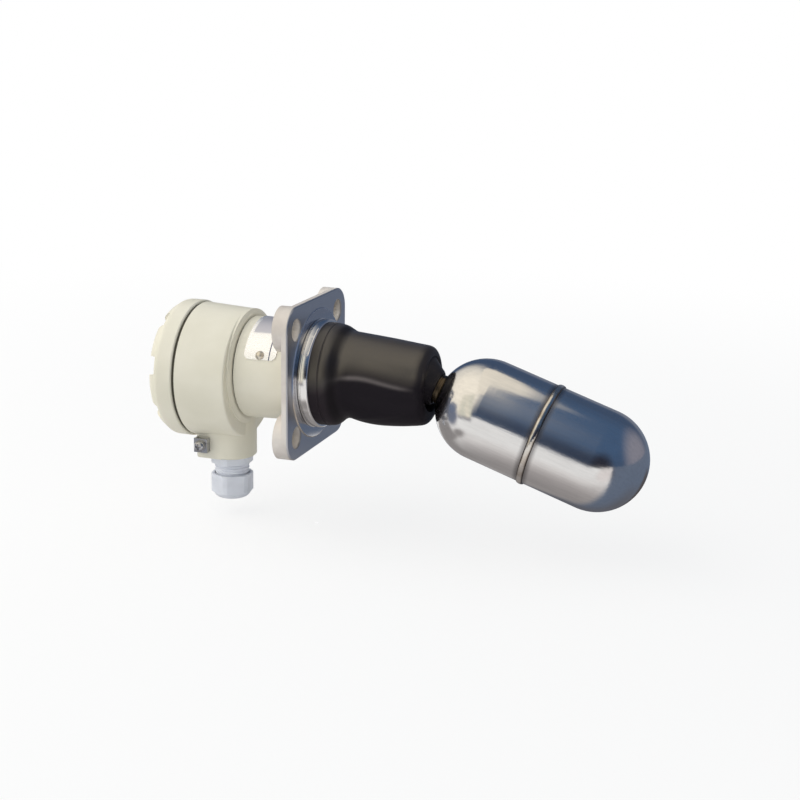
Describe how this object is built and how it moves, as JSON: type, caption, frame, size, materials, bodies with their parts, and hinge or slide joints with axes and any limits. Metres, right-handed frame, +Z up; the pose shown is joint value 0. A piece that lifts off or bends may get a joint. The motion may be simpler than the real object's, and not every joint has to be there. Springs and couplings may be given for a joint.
{
  "type": "magnetic float level switch",
  "caption": "Side-mounted magnetic float level switch: square flange, float on a pivoted lever behind a rubber boot, round housing with screw-on cover and cable gland.",
  "frame": {"origin": "centre of the flange's front face, in the middle of its four bolt holes", "axes": "+X out of the flange towards the float, +Z up, -Y the side with the ground terminal"},
  "size_m": [0.2983, 0.092, 0.131],
  "materials": {
    "beige_paint": "satin",
    "cast_grey": "cast, machined on the front",
    "stainless": "turned",
    "polished_steel": "polished",
    "bare_plate": "bright",
    "plain_aluminium": "plain",
    "black_rubber": "semi matt",
    "grey_plastic": "moulded",
    "black_plastic": "moulded",
    "red_plastic": "moulded",
    "plain_brass": "turned",
    "magnet": "nickel plated"
  },
  "bodies": {
    "housing": {"flange": "cast_grey", "boot_clamp_ring": "stainless", "pivot_bracket": "stainless", "bracket_screws": "stainless", "pivot_pin": "stainless", "pivot_clips": "stainless", "stop_pins": "stainless", "rubber_boot": "black_rubber", "neck_tube": "beige_paint", "neck_screws": "stainless", "neck_oring": "black_rubber", "neck_lock_ring": "plain_aluminium", "nameplate": "bare_plate", "nameplate_rivets": "plain_aluminium", "housing_body": "beige_paint", "ground_clamp": "stainless", "ground_spring_washer": "stainless", "ground_screw": "stainless", "gland_body": "grey_plastic", "gland_seal": "black_rubber", "switch_chassis": "plain_aluminium", "lever_pin": "stainless", "microswitch_case": "black_plastic", "microswitch_screws": "stainless", "microswitch_nuts": "stainless", "terminal_block": "black_plastic", "terminal_screws": "plain_brass", "block_screws": "stainless", "earth_screw": "plain_brass"},
    "float": {"float_lever": "stainless", "pivot_bush": "plain_brass", "lever_washers": "stainless", "magnet_holder": "stainless", "float_magnet": "magnet", "magnet_lid": "stainless", "float_shell_near": "polished_steel", "float_shell_far": "polished_steel", "float_backing_ring": "stainless", "float_girth_weld": "polished_steel", "float_socket": "stainless"},
    "switch_rocker": {"switch_lever": "plain_aluminium", "switch_magnet": "magnet"},
    "switch_plunger": {"microswitch_button": "red_plastic"},
    "cover_carriage": {"cover_seal": "black_rubber"},
    "cover_turning": {"cover": "beige_paint"},
    "gland_carriage": {"gland_slip_ring": "grey_plastic"},
    "gland_nut_turning": {"gland_nut": "grey_plastic"}
  },
  "joints": [
    {"name": "float_pivot", "type": "hinge", "parent": "housing", "child": "float", "pos_m": [0.0693, 0, 0], "axis": [0, -1, 0], "range_deg": [0, 37.2], "deforming": ["rubber_boot"]},
    {"name": "rocker_pivot", "type": "hinge", "parent": "housing", "child": "switch_rocker", "pos_m": [-0.038, 0, 0], "axis": [0, -1, 0], "range_deg": [0, 10]},
    {"name": "plunger_slide", "type": "slide", "parent": "housing", "child": "switch_plunger", "axis": [0, 0, -1], "range_m": [0, 0.0014]},
    {"name": "cover_travel", "type": "slide", "parent": "housing", "child": "cover_carriage", "axis": [-1, 0, 0], "range_m": [0, 0.01]},
    {"name": "cover_turn", "type": "hinge", "parent": "cover_carriage", "child": "cover_turning", "pos_m": [-0.083, 0, -0.0043], "axis": [-1, 0, 0], "range_deg": [0, 1800]},
    {"name": "gland_nut_travel", "type": "slide", "parent": "housing", "child": "gland_carriage", "axis": [0, 0, -1], "range_m": [0, 0.006]},
    {"name": "gland_nut_turn", "type": "hinge", "parent": "gland_carriage", "child": "gland_nut_turning", "pos_m": [-0.0574, 0, -0.075], "axis": [0, 0, -1], "range_deg": [0, 1440]}
  ],
  "couplings": [
    {"joint": "rocker_pivot", "follows": "float_pivot", "ratio": 0.26882},
    {"joint": "plunger_slide", "follows": "float_pivot", "m_per_rad": 0.0021563},
    {"joint": "cover_travel", "follows": "cover_turn", "m_per_rad": 0.00031831},
    {"joint": "gland_nut_travel", "follows": "gland_nut_turn", "m_per_rad": 0.00023873}
  ]
}
